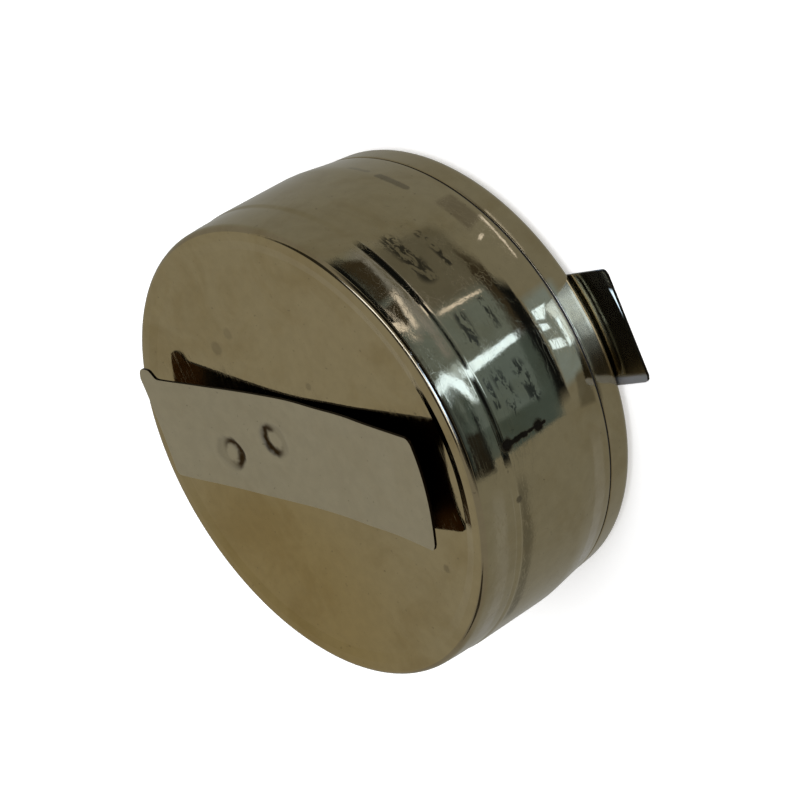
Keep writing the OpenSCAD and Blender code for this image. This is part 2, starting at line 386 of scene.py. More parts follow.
def blend_colour(tree, factor, first, second, kind="MIX"):
    """Mixes two colours, each a (node, socket) pair or a plain colour."""
    node = add(tree, "Mix", data_type="RGBA", blend_type=kind)
    join(tree, factor[0], factor[1], node, 0)
    for place, value in ((6, first), (7, second)):
        if isinstance(value[0], bpy.types.Node):
            join(tree, value[0], value[1], node, place)
        else:
            node.inputs[place].default_value = value
    return node


def make_plating():
    """Nickel plating after handling: tarnish clouds, specks, hairline scratches and smears."""
    tree, start, end = new_group(
        "nickel_plating",
        {"Colour": NICKEL, "Tarnish": 0.4, "Roughness": 0.16, "Smears": 0.12, "Scratches": 0.5,
         "Bump": 0.3},
        {"Colour": "Color", "Roughness": "Float", "Normal": "Vector"},
    )
    coords = in_millimetres(tree)
    cloud = noise_on(tree, coords, CLOUD_CELLS, 6, 0.62, twist=0.6)
    cloud_mask = ramp(tree, cloud, 0, 0.42, 0.68)
    tarnish = math_node(tree, "MULTIPLY", (cloud_mask, 0), (start, "Tarnish"))
    toned = blend_colour(tree, (tarnish, 0), (start, "Colour"), TARNISH)

    grain = noise_on(tree, coords, GRAIN_CELLS, 5, 0.6)
    grain_tone = ramp(tree, grain, 0, 0.3, 0.7, 0.96, 1.03)
    grained = add(tree, "VectorMath", operation="SCALE")
    join(tree, toned, 2, grained, 0)
    join(tree, grain_tone, 0, grained, "Scale")

    speck = noise_on(tree, coords, SPECK_CELLS, 2, 0.5)
    speck_mask = ramp(tree, speck, 0, 0.7, 0.76, 0, 0.35)
    specked = blend_colour(tree, (speck_mask, 0), (grained, 0), SPECK)

    lines = None
    for turn, drawn_out in SCRATCHES:
        turns = (turn, 0.3 * turn, turn)
        scratch = noise_on(tree, coords, SCRATCH_CELLS, 2, 0.4, (1, drawn_out, 1), turns)
        away = math_node(tree, "ABSOLUTE", (math_node(tree, "SUBTRACT", (scratch, 0), 0.5), 0))
        line = ramp(tree, away, 0, 0.0, 0.006, 1, 0)
        lines = line if lines is None else math_node(tree, "MAXIMUM", (lines, 0), (line, 0))
    patchy = ramp(tree, noise_on(tree, coords, SCRATCHED_PATCH_CELLS, 3), 0, 0.42, 0.6)
    lines = math_node(tree, "MULTIPLY", (lines, 0), (patchy, 0))
    lines = math_node(tree, "MULTIPLY", (lines, 0), (start, "Scratches"))

    smear = noise_on(tree, coords, SMEAR_CELLS, 5, 0.65, (1, 0.6, 1.4))
    smeared = ramp(tree, smear, 0, 0.35, 0.72)
    smear_rough = math_node(tree, "MULTIPLY", (smeared, 0), (start, "Smears"))
    line_rough = math_node(tree, "MULTIPLY", (lines, 0), 0.18)
    rough = math_node(tree, "ADD", (start, "Roughness"), (smear_rough, 0))
    rough = math_node(tree, "ADD", (rough, 0), (line_rough, 0))

    peel = math_node(tree, "MULTIPLY", (noise_on(tree, coords, PEEL_CELLS, 3, 0.5), 0), 0.8)
    pores = math_node(tree, "MULTIPLY", (noise_on(tree, coords, PORE_CELLS, 3, 0.6), 0), 0.12)
    line_depth = math_node(tree, "MULTIPLY", (lines, 0), 0.25)
    height = math_node(tree, "ADD", (peel, 0), (pores, 0))
    height = math_node(tree, "SUBTRACT", (height, 0), (line_depth, 0))
    bump = add(tree, "Bump", in_Distance=PLATING_RELIEF)
    join(tree, start, "Bump", bump, "Strength")
    join(tree, height, 0, bump, "Height")
    join(tree, specked, 2, end, "Colour")
    join(tree, rough, 0, end, "Roughness")
    join(tree, bump, 0, end, "Normal")
    return tree


plating = make_plating()


def plated_metal(name, colour, values, paint=None):
    """A metal material on the plating group. paint may lay more marks over its colour."""
    material, tree = new_tree(name)
    finish = add_group(tree, plating, {"Colour": colour, **values})
    shader = add(tree, "BsdfPrincipled", in_Metallic=1)
    colour_from, rough_from = (finish, 0), (finish, 1)
    if paint:
        colour_from, rough_from = paint(tree, colour_from, rough_from)
    join(tree, *colour_from, shader, "Base Color")
    join(tree, *rough_from, shader, "Roughness")
    join(tree, finish, "Normal", shader, "Normal")
    join(tree, shader, 0, add(tree, "OutputMaterial"), "Surface")
    return material


def cover_with(tree, colour_from, rough_from, mask, colour, rougher):
    """Lays a mark over a finish, where the mask is up to 1."""
    toned = blend_colour(tree, mask, colour_from, colour)
    roughened = math_node(tree, "ADD", rough_from, (math_node(tree, "MULTIPLY", mask, rougher), 0))
    return (toned, 2), (roughened, 0)


def distance_to(tree, coords, place):
    """How far a point of the surface is from a place on the cell, in millimetres."""
    gap = add(tree, "VectorMath", operation="DISTANCE")
    join(tree, coords, 0, gap, 0)
    if isinstance(place[0], bpy.types.Node):
        join(tree, *place, gap, 1)
    else:
        gap.inputs[1].default_value = place
    return gap


def on_wall(turn, z):
    """A place on the wall, in millimetres, from its direction and height."""
    turn = math.radians(turn)
    return (belly_r / MM * math.cos(turn), belly_r / MM * math.sin(turn), z)


# Dark spots on the can, dirt on the face and dark marks on the wall, as (place, radius, strength),
# all in millimetres.
FACE_HEIGHT = 10.5
SPOTS = (
    ((7.11, -6.35, FACE_HEIGHT), 0.2, 0.3),
    ((-2.23, 6.6, FACE_HEIGHT), 0.3, 0.2),
    ((-3.66, 5.92, FACE_HEIGHT), 0.35, 0.25),
    ((2.43, 3.42, FACE_HEIGHT), 0.2, 0.25),
    (on_wall(-19.6, 8.25), 0.16, 0.6),
    (on_wall(-6.5, 8.15), 0.32, 1),
    (on_wall(-6.4, 6.1), 0.3, 1),
)
# Dark streaks along the wall, as (first place, last place, half width, strength).
STREAKS = (
    (on_wall(-6.4, 8.3), on_wall(-6.4, 6.9), 0.13, 1),
    (on_wall(-6.4, 6.9), on_wall(-6.4, 5.7), 0.08, 1),
    (on_wall(67, 3.68), on_wall(58.6, 3.66), 0.2, 0.45),
    (on_wall(77, 3.6), on_wall(71, 3.6), 0.12, 0.25),
)
# Rubbed and darkened bands of the wall, as (first place, last place, half width).
WORN = (
    (on_wall(46.5, 7.2), on_wall(35, 7.1), 0.45),
    (on_wall(45, 5.7), on_wall(35, 5.68), 0.18),
    (on_wall(23, 7.2), on_wall(17, 7.3), 0.3),
    (on_wall(24, 5.7), on_wall(17, 5.7), 0.15),
    (on_wall(8.5, 7.85), on_wall(2, 7.85), 0.15),
    (on_wall(8, 7.15), on_wall(0, 6.95), 0.35),
    (on_wall(7.5, 5.9), on_wall(0, 5.65), 0.35),
)
WORN_CELLS = 1.9
FRAY_CELLS = 3.5
FRAY = 0.035
# The face is tinted yellower towards its low side, fading out between two distances from the tint's
# middle, in millimetres.
FACE_TINT_MIDDLE = (-6.5, -8, FACE_HEIGHT)
FACE_TINT_REACH = (3, 13)
FACE_TINT_COLOUR = (0.97, 0.88, 0.66, 1)


def distance_along(tree, coords, first, last):
    """How far a point of the surface is from a straight line between two places, in millimetres."""
    line = Vector(last) - Vector(first)
    out = add(tree, "VectorMath", operation="SUBTRACT")
    join(tree, coords, 0, out, 0)
    out.inputs[1].default_value = first
    dot = add(tree, "VectorMath", operation="DOT_PRODUCT")
    join(tree, out, 0, dot, 0)
    dot.inputs[1].default_value = line / line.length_squared
    part = add(tree, "Clamp")
    join(tree, dot, "Value", part, 0)
    nearest = add(tree, "VectorMath", operation="SCALE", in_0=tuple(line))
    join(tree, part, 0, nearest, "Scale")
    gap = add(tree, "VectorMath", operation="DISTANCE")
    join(tree, out, 0, gap, 0)
    join(tree, nearest, 0, gap, 1)
    return gap


def can_marks(tree, colour_from, rough_from):
    """Paint function for the can: its dirt and dark marks, its dark rubbed bands and its yellow
    tint towards the face's low side.
    """
    coords = in_millimetres(tree)
    frays = ramp(tree, noise_on(tree, coords, FRAY_CELLS, 3, 0.6), 0, 0.3, 0.7, -FRAY, FRAY)
    marks = [(distance_to(tree, coords, spot), *rest) for spot, *rest in SPOTS]
    marks += [(distance_along(tree, coords, first, last), *rest) for first, last, *rest in STREAKS]
    for gap, radius, strength in marks:
        away = math_node(tree, "ADD", (gap, 1), (frays, 0))
        mask = ramp(tree, away, 0, radius * 0.7, radius * 1.4, strength, 0)
        colour_from, rough_from = cover_with(tree, colour_from, rough_from, (mask, 0), SOOT, 0.3)
    specks = noise_on(tree, coords, WORN_CELLS, 4, 0.65, (0.8, 0.8, 1.8), twist=0.6)
    specks = ramp(tree, specks, 0, 0.46, 0.55)
    for first, last, half in WORN:
        gap = distance_along(tree, coords, first, last)
        near = ramp(tree, gap, 1, half * 0.5, half * 1.5, 0.85, 0)
        mask = math_node(tree, "MULTIPLY", (near, 0), (specks, 0))
        colour_from, rough_from = cover_with(
            tree, colour_from, rough_from, (mask, 0), WORN_DARK, 0.1)
    tinted = ramp(tree, distance_to(tree, coords, FACE_TINT_MIDDLE), 1, *FACE_TINT_REACH, 1, 0)
    return (blend_colour(tree, (tinted, 0), colour_from, FACE_TINT_COLOUR, "MULTIPLY"), 2), rough_from


can.data.materials.append(plated_metal(
    "can_nickel", NICKEL,
    {"Tarnish": 0.4, "Roughness": 0.05, "Smears": 0.05, "Scratches": 0.7, "Bump": 0.3},
    can_marks))
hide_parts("can")
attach(can, "root")

# Seal ring: the plastic ring between can and cover. Only its lip shows, as the dark line of
# the seam. It is moulded, and the crimp squeezes it tight round the cover's skirt.
PRESS_GAP = 0.02 * MM
SEAL_AT_MOUTH = 0.25 * MM
SEAL_LEG = 0.25 * MM
SEAL_WEB = 0.4 * MM
SEAL_LEG_HEIGHT = 1.2 * MM
SEAM_SINK = 0.08 * MM
LIP_EDGE = 0.02 * MM

band_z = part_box("seal_ring")[0].z
skirt_z = cover_high.z
skirt_r = mouth_r - SHEET - SEAL_AT_MOUTH - 2 * PRESS_GAP
skirt_in_r = skirt_r - SHEET
lip_r = mouth_r - SEAM_SINK
seal_line = section_line([
    (skirt_r + PRESS_GAP, skirt_z, 0, HIDDEN_STEP),
    (skirt_r + PRESS_GAP, band_z, 0, HIDDEN_STEP),
    (lip_r, band_z, LIP_EDGE, HIDDEN_STEP),
    (lip_r, mouth_z, LIP_EDGE, HIDDEN_STEP),
    (mouth_r - SHEET - 2 * PRESS_GAP, mouth_z, 0, HIDDEN_STEP),
    (belly_r - SHEET - 2 * PRESS_GAP, crimp_z, 0, HIDDEN_STEP),
    (belly_r - SHEET - 2 * PRESS_GAP, skirt_z + SEAL_WEB, TRIM_EDGE, HIDDEN_STEP),
    (skirt_in_r - PRESS_GAP - SEAL_LEG, skirt_z + SEAL_WEB, TRIM_EDGE, HIDDEN_STEP),
    (skirt_in_r - PRESS_GAP - SEAL_LEG, skirt_z - SEAL_LEG_HEIGHT, TRIM_EDGE, HIDDEN_STEP),
    (skirt_in_r - PRESS_GAP, skirt_z - SEAL_LEG_HEIGHT, TRIM_EDGE, HIDDEN_STEP),
    (skirt_in_r - PRESS_GAP, skirt_z, 0, HIDDEN_STEP),
    (skirt_r + PRESS_GAP, skirt_z, 0, HIDDEN_STEP),
])
seal = spin("seal_moulded", seal_line)

SEAL_BLACK = (0.016, 0.015, 0.015, 1)
GRAIN_RELIEF = 0.05 * MM
GRAIN_DARKER = 0.85
GRAIN_ROUGHER = 0.15


def make_grain():
    """The grain of plastic, felt, powder and plain metal, in tone, roughness and height."""
    tree, start, end = new_group(
        "plain_grain",
        {"Colour": SEAL_BLACK, "Dark Colour": SEAL_BLACK, "Cells": 3.0, "Least Roughness": 0.4,
         "Most Roughness": 0.6, "Bump": 0.2},
        {"Colour": "Color", "Roughness": "Float", "Normal": "Vector"},
    )
    grain = noise_on(tree, in_millimetres(tree), 1, 5, 0.65)
    join(tree, start, "Cells", grain, "Scale")
    dark = ramp(tree, grain, 0, 0.35, 0.65)
    toned = blend_colour(tree, (dark, 0), (start, "Colour"), (start, "Dark Colour"))
    rough = ramp(tree, grain, 0, 0.3, 0.7)
    join(tree, start, "Least Roughness", rough, 3)
    join(tree, start, "Most Roughness", rough, 4)
    bump = add(tree, "Bump", in_Distance=GRAIN_RELIEF)
    join(tree, start, "Bump", bump, "Strength")
    join(tree, grain, 0, bump, "Height")
    join(tree, toned, 2, end, "Colour")
    join(tree, rough, 0, end, "Roughness")
    join(tree, bump, 0, end, "Normal")
    return tree


grain_group = make_grain()


def plain_material(name, colour, roughness, cells, bump, metallic=0.0):
    """A plain material on the grain group."""
    material, tree = new_tree(name)
    finish = add_group(tree, grain_group, {
        "Colour": colour,
        "Dark Colour": tuple(part * GRAIN_DARKER for part in colour[:3]) + (1,),
        "Cells": cells,
        "Least Roughness": roughness * (1 - GRAIN_ROUGHER),
        "Most Roughness": min(1, roughness * (1 + GRAIN_ROUGHER)),
        "Bump": bump,
    })
    shader = add(tree, "BsdfPrincipled", in_Metallic=metallic)
    join(tree, finish, "Colour", shader, "Base Color")
    join(tree, finish, "Roughness", shader, "Roughness")
    join(tree, finish, "Normal", shader, "Normal")
    join(tree, shader, 0, add(tree, "OutputMaterial"), "Surface")
    return material


seal.data.materials.append(plain_material("seal_polypropylene", SEAL_BLACK, 0.5, 3, 0.2))
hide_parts("seal_ring")
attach(seal, "root")

# Rear cover: the shallow cup that closes the can from behind. It is pressed from the same
# plated sheet, with a band that shows behind the seam and a skirt that plugs into the can.
COVER_BEND = 0.12 * MM
COVER_CORNER = 0.6 * MM
COVER_DRAFT = 0.14 * MM
COVER_WAVE = 0.006 * MM
COVER_RIPPLES = ((0.6, 3, 1, math.inf), (0.4, 7, 0, 1.1 * MM))

rear_z = cover_low.z
cover_r = cover_high.x


def cover_waves(points, r, z, turns):
    """The cover keeps a slow ripple from pressing, inwards from its widest."""
    wave = COVER_WAVE * (1 + ripples(COVER_RIPPLES, turns, z))
    points[..., :2] *= (1 - wave / cover_r)[..., None]
    return points


cover_line = section_line([
    (0, rear_z, 0, FACE_STEP),
    (cover_r - COVER_DRAFT, rear_z, COVER_CORNER, FACE_STEP),
    (cover_r, band_z, TRIM_EDGE, WALL_STEP),
    (skirt_r, band_z, TRIM_EDGE, WALL_STEP),
    (skirt_r, skirt_z, TRIM_EDGE, HIDDEN_STEP),
    (skirt_in_r, skirt_z, TRIM_EDGE, HIDDEN_STEP),
    (skirt_in_r, band_z - SHEET, COVER_BEND, HIDDEN_STEP),
    (cover_r - SHEET, band_z - SHEET, COVER_BEND, HIDDEN_STEP),
    (cover_r - COVER_DRAFT - SHEET, rear_z + SHEET, COVER_BEND, HIDDEN_STEP),
    (0, rear_z + SHEET, 0, HIDDEN_STEP),
])
cover = spin("cover_pressed", cover_line, cover_waves)
cover.data.materials.append(plated_metal(
    "cover_nickel", NICKEL,
    {"Tarnish": 0.35, "Roughness": 0.1, "Smears": 0.08, "Scratches": 0.6, "Bump": 0.3}))
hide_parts("rear_cover")
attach(cover, "root")

# Front tab: a strip of nickel, spot welded to the face. It has come off at its first spot, so
# it bows and twists over the second spot, and both its ends stand clear of the face.
FRONT_TURN = math.radians(-13.8)
FRONT_SHIFT = 0.1 * MM
FRONT_WIDTH = 5.85 * MM
FRONT_NEAR = 10.45 * MM
FRONT_FAR = 9.3 * MM
STRIP = 0.15 * MM
STRIP_CORNER = 0.3 * MM
STRIP_STEP = 0.09 * MM
CUT_EDGE_ANGLE = math.radians(40)
SEAT_GAP = 0.01 * MM
BURR = 0.45 * MM
BURR_LENGTH = 1.1 * MM
# Places along the strip, and how far its upper edge, middle and lower edge stand off the face
# there, all in millimetres.
FRONT_LIFTS = (
    (-10.6, 0.97, 0.6, 0.34),
    (-9, 0.93, 0.55, 0.28),
    (-7, 0.72, 0.4, 0.18),
    (-5.5, 0.56, 0.26, 0.12),
    (-4, 0.39, 0.15, 0.1),
    (-2, 0.22, 0.02, 0.06),
    (0, 0.14, 0.03, 0.03),
    (2, 0.25, 0.1, 0.1),
    (4, 0.34, 0.24, 0.28),
    (6, 0.58, 0.38, 0.42),
    (8, 0.78, 0.55, 0.7),
    (9.5, 0.92, 0.64, 0.96),
)
# Each spot's place along and across the strip, and the direction of its deeper side.
FRONT_SPOTS = ((-5.5 * MM, -0.85 * MM, 10), (-1.95 * MM, 0.45 * MM, 195))
SPOT_GROOVE = 0.7 * MM
SPOT_WIDTH = 0.22 * MM
SPOT_DEPTH = 0.1 * MM
SPOT_LIP = 0.035 * MM
# How many groove widths outside the groove its pushed-up lip lies.
SPOT_LIP_OUT = 1.8
# The share of the groove's depth that is the same all round.
SPOT_EVEN = 0.55


def eased(places, values, at):
    """A smooth curve through values, with the slope at each place from its neighbours."""
    slopes = np.gradient(values, places)
    i = np.clip(np.searchsorted(places, at) - 1, 0, len(places) - 2)
    width = places[i + 1] - places[i]
    t = np.clip((at - places[i]) / width, 0, 1)
    return ((2 * t**3 - 3 * t**2 + 1) * values[i] + (t**3 - 2 * t**2 + t) * width * slopes[i]
            + (3 * t**2 - 2 * t**3) * values[i + 1] + (t**3 - t**2) * width * slopes[i + 1])


def front_lift(along, across):
    """How far the strip's underside stands off the face."""
    places, upper, middle, lower = (np.array(column) * MM for column in zip(*FRONT_LIFTS))
    side = np.clip(2 * across / FRONT_WIDTH, -1, 1)
    top, mid, low = (eased(places, values, along) for values in (upper, middle, lower))
    lift = mid + (top - low) / 2 * side + ((top + low) / 2 - mid) * side**2
    return np.maximum(lift, 0) + SEAT_GAP


def spot_marks(along, across, spots):
    """The ring that each electrode pressed, with the metal it pushed up around it."""
    height = np.zeros_like(along)
    for spot_x, spot_y, side in spots:
        away = np.hypot(along - spot_x, across - spot_y)
        turn = np.arctan2(across - spot_y, along - spot_x) - math.radians(side)
        depth = SPOT_DEPTH * (SPOT_EVEN + (1 - SPOT_EVEN) * np.cos(turn))
        height -= depth * np.exp(-((away - SPOT_GROOVE) / SPOT_WIDTH) ** 2)
        height += SPOT_LIP * np.exp(-((away - SPOT_GROOVE) / SPOT_WIDTH - SPOT_LIP_OUT) ** 2)
    return height


def strip(name, near, far, width, spots, marks_up, burr, lift, to_cell):
    """A cut strip with rounded corners, from its plan, its lift and its weld marks."""
    columns = math.ceil((far - near) / STRIP_STEP)
    rows = math.ceil(width / STRIP_STEP)
    u, v = np.meshgrid(np.linspace(0, 1, columns + 1), np.linspace(-1, 1, rows + 1), indexing="ij")
    along = near + u * (far - near)
    from_end = np.minimum(along - near, far - along)
    cut = np.clip(STRIP_CORNER - from_end, 0, None)
    across = v * (width / 2 - STRIP_CORNER + np.sqrt(np.maximum(STRIP_CORNER**2 - cut**2, 0)))
    along_burr = 2 * (along - near) / BURR_LENGTH - 1
    across += burr * v.clip(0) ** 4 * np.exp(-(along_burr**4))
    under = lift(along, across)
    marks = spot_marks(along, across, spots)
    top = under + STRIP + (marks if marks_up else 0)
    bottom = under - (0 if marks_up else marks.clip(None, 0))
    layers = [to_cell(along, across, height).reshape(-1, 3) for height in (bottom, top)]
    number = np.arange((columns + 1) * (rows + 1)).reshape(columns + 1, rows + 1)
    count = number.size
    cells = np.stack([number[:-1, :-1], number[1:, :-1], number[1:, 1:], number[:-1, 1:]], -1)
    cells = cells.reshape(-1, 4)
    faces = cells.tolist() + (cells + count)[:, ::-1].tolist()
    edge = np.concatenate([number[:, 0], number[-1, 1:], number[-2::-1, -1], number[0, -2:0:-1]])
    after = np.roll(edge, -1)
    faces += np.stack([edge, after, after + count, edge + count], -1).tolist()
    piece = new_piece(name, np.concatenate(layers).tolist(), faces)
    piece.data.set_sharp_from_angle(angle=CUT_EDGE_ANGLE)
    return piece


def on_face(along, across, height):
    """From the front strip's own place to the cell's."""
    y = across + FRONT_SHIFT
    x_cell = along * math.cos(FRONT_TURN) - y * math.sin(FRONT_TURN)
    y_cell = along * math.sin(FRONT_TURN) + y * math.cos(FRONT_TURN)
    return np.stack([x_cell, y_cell, face_z + height], -1)


front_tab = strip("front_tab_strip", -FRONT_NEAR, FRONT_FAR, FRONT_WIDTH, FRONT_SPOTS, True, BURR,
                  front_lift, on_face)
TAB_NICKEL = (0.47, 0.43, 0.325, 1)
# The dark brown of the weld rings, for their burn and for the painted shade in their craters.
BURN_AND_SHADE = (0.05, 0.027, 0.006, 1)
BURN_AND_SHADE_CELLS = 1.3
BURN_AND_SHADE_FRAY = 0.1
# Painted shade for the tabs' undersides and cut edges, and the painted light of the front tab's
# underside near its ends.
PAINTED_SHADE = (0.02, 0.013, 0.007, 1)
PAINTED_UNDERSIDE_LIGHT = (0.16, 0.075, 0.02, 1)
# How far from the face's middle the underside's painted shade turns to painted light, in
# millimetres.
UNDERSIDE_LIGHT_REACH = (7.8, 8.8)


def make_weld_burn_and_shade():
    """The burnt ring that a spot weld leaves, with painted shade that makes it darkest on the
    spot's deeper side.
    """
    tree, start, end = new_group(
        "weld_burn_and_shade", {"Centre": (0, 0, 0), "Deep Side": (0, 0, 0)}, {"Mask": "Float"})
    coords = in_millimetres(tree)
    frays = noise_on(tree, coords, BURN_AND_SHADE_CELLS, 2, 0.5)
    frays = ramp(tree, frays, 0, 0.3, 0.7, -BURN_AND_SHADE_FRAY, BURN_AND_SHADE_FRAY)
    away = math_node(tree, "ADD", (distance_to(tree, coords, (start, "Centre")), 1), (frays, 0))
    off_ring = math_node(tree, "SUBTRACT", (away, 0), SPOT_GROOVE / MM)
    line = ramp(tree, math_node(tree, "ABSOLUTE", (off_ring, 0)), 0, 0.05, 0.34, 1, 0)
    # Painted shade: the ring is darkest on the spot's deeper side, where the crater's shade falls.
    side = ramp(tree, distance_to(tree, coords, (start, "Deep Side")), 1, 0.8, 1.3, 1, 0.15)
    join(tree, math_node(tree, "MULTIPLY", (line, 0), (side, 0)), 0, end, "Mask")
    return tree


weld_burn_and_shade = make_weld_burn_and_shade()


def weld_burns_and_shade(tree, colour_from, rough_from, spots, lift, to_cell, thickness):
    """Lays the burnt ring of each of a strip's spots, with its painted shade, over its finish."""
    for spot_x, spot_y, side in spots:
        reach = np.array([0, SPOT_GROOVE])
        along = spot_x + reach * math.cos(math.radians(side))
        across = spot_y + reach * math.sin(math.radians(side))
        centre, deep_side = to_cell(along, across, lift(along, across) + thickness) / MM
        burn_and_shade = add_group(tree, weld_burn_and_shade, {"Centre": centre, "Deep Side": deep_side})
        colour_from, rough_from = cover_with(tree, colour_from, rough_from, (burn_and_shade, 0), BURN_AND_SHADE, 0.1)
    return colour_from, rough_from


def front_tab_marks(tree, colour_from, rough_from):
    """Paint function for the front tab: weld burns on top, and painted shade on its underside and
    cut edges, with painted light out towards its ends.
    """
    colour_from, rough_from = weld_burns_and_shade(
        tree, colour_from, rough_from, FRONT_SPOTS, front_lift, on_face, STRIP)
    coords = in_millimetres(tree)
    from_middle = distance_to(tree, coords, (0, 0, face_z / MM))
    # Painted shade: the underside and the cut edges take the dark colour, and the underside out
    # towards the ends takes painted light.
    facing = add(tree, "SeparateXYZ")
    join(tree, add(tree, "TexCoord"), "Normal", facing, 0)
    underneath = ramp(tree, facing, "Z", -0.8, -0.6, 1, 0)
    towards_lit_ends = ramp(tree, from_middle, 1, *UNDERSIDE_LIGHT_REACH)
    lit_underside = math_node(tree, "MULTIPLY", (towards_lit_ends, 0), (underneath, 0))
    underside_shade_and_light = blend_colour(tree, (lit_underside, 0), PAINTED_SHADE, PAINTED_UNDERSIDE_LIGHT)
    dark = ramp(tree, facing, "Z", 0.1, 0.5, 1, 0)
    return (blend_colour(tree, (dark, 0), colour_from, (underside_shade_and_light, 2)), 2), rough_from


front_tab.data.materials.append(plated_metal(
    "front_tab_satin", TAB_NICKEL,
    {"Tarnish": 0.1, "Roughness": 0.32, "Smears": 0.05, "Scratches": 0.1, "Bump": 0.05},
    front_tab_marks))
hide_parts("front_tab")
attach(front_tab, "root")

# Rear tab: a like strip, welded flat to the rear cover with its marks on the outer side. Its
# free end reaches past the rim, bright, with painted shade on its cut edges and a painted
# highlight on top along one long side, and the cell lies on it.
REAR_SHIFT = 0.84 * MM
REAR_WIDTH = 5.76 * MM
REAR_SPOTS = ((6.75 * MM, 0.0, 20), (3.2 * MM, 0.0, 200))
# The colour of the painted highlight, a light strip on top of the tab along one long side.
PAINTED_HIGHLIGHT = (0.75, 0.74, 0.68, 1)
# Where across the cell the painted highlight fades into the plain metal, in millimetres.
HIGHLIGHT_EDGE = (-1.75, -1.45)

rear_low, rear_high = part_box("rear_tab")


def lies_flat(along, across):
    """The strip lies on the floor."""
    return np.zeros_like(along)


def under_cell(along, across, height):
    """From the rear strip's own place to the cell's."""
    return np.stack([along, across + REAR_SHIFT, height], -1)


rear_tab = strip("rear_tab_strip", rear_low.x, rear_high.x, REAR_WIDTH, REAR_SPOTS, False, 0,
                 lies_flat, under_cell)


def rear_tab_marks(tree, colour_from, rough_from):
    """Paint function for the rear tab: weld burns on its outer side, painted shade on its cut edges
    and a painted highlight on top along one long side.
    """
    colour_from, rough_from = weld_burns_and_shade(
        tree, colour_from, rough_from, REAR_SPOTS, lies_flat, under_cell, 0)
    facing = add(tree, "SeparateXYZ")
    join(tree, add(tree, "TexCoord"), "Normal", facing, 0)
    # Painted shade: the cut edges take the dark colour.
    edge = ramp(tree, math_node(tree, "ABSOLUTE", (facing, "Z")), 0, 0.1, 0.5, 1, 0)
    colour_from = (blend_colour(tree, (edge, 0), colour_from, PAINTED_SHADE), 2)
    place = add(tree, "SeparateXYZ")
    join(tree, in_millimetres(tree), 0, place, 0)
    # Painted highlight: a bright strip on top, along the tab's long side.
    low_edge = ramp(tree, place, "Y", *HIGHLIGHT_EDGE, 1, 0)
    on_top = ramp(tree, facing, "Z", 0.5, 0.9)
    highlight = math_node(tree, "MULTIPLY", (low_edge, 0), (on_top, 0))
    return cover_with(tree, colour_from, rough_from, (highlight, 0), PAINTED_HIGHLIGHT, 0.5)


rear_tab.data.materials.append(plated_metal(
    "rear_tab_bright", TAB_NICKEL,
    {"Tarnish": 0.3, "Roughness": 0.1, "Smears": 0.04, "Scratches": 0.2, "Bump": 0.03},
    rear_tab_marks))
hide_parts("rear_tab")
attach(rear_tab, "root")

# Inner pieces: the pressed powder cathode in its steel ring, the felt separator, the lithium
# disc and the steel grid it is pressed on. They keep their solids and take these finishes, each
# given as name, colour, roughness, grain cells in a millimetre, grain depth and metallic.
INNER = {
    "cathode_ring": ("ring_stainless", (0.5, 0.5, 0.51, 1), 0.3, 2, 0.1, 1.0),
    "cathode_pellet": ("pellet_black", (0.012, 0.012, 0.013, 1), 0.85, 6, 0.6, 0.0),
    "separator": ("separator_felt", (0.8, 0.8, 0.76, 1), 0.95, 5, 0.8, 0.0),
    "lithium_disc": ("lithium_grey", (0.52, 0.52, 0.54, 1), 0.45, 1.2, 0.3, 1.0),
    "anode_grid": ("grid_stainless", (0.48, 0.48, 0.47, 1), 0.32, 3, 0.1, 1.0),
}
for node, finish in INNER.items():
    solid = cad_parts[node]
    solid.data.materials.clear()
    solid.data.materials.append(plain_material(*finish))

# Cards: what the bright metal mirrors. A table and a sky calm it, and patches on the table give
# it its streaks. Each patch is given by where the camera sees it on the wall, as corners of
# (direction, height), and is laid on the table where the wall's mirror image falls there.
CARD_LIFT = 0.004 * MM
TABLE_REACH = 500 * MM
TABLE_COLOUR = (1, 1, 0.92)
TABLE_GLOW = 0.335
SKY_RADIUS = 500 * MM
SKY_LAYER = 0.02
PATCH_STEPS = 24
SOFT_STEPS = 2.5

# The wall's outer line from the seam up to the rim: its heights, radii and slopes.
seam_point = min(range(len(can_line)), key=lambda i: can_line[i].y)
wall = [p for p in can_line[:seam_point] if p.y < rim_z - RIM_CORNER and p.x > mouth_r - SHEET / 2]
wall_z = np.array([p.y for p in wall[::-1]])
wall_r = np.array([p.x for p in wall[::-1]])
wall_tilt = -np.arctan(np.gradient(wall_r, wall_z))


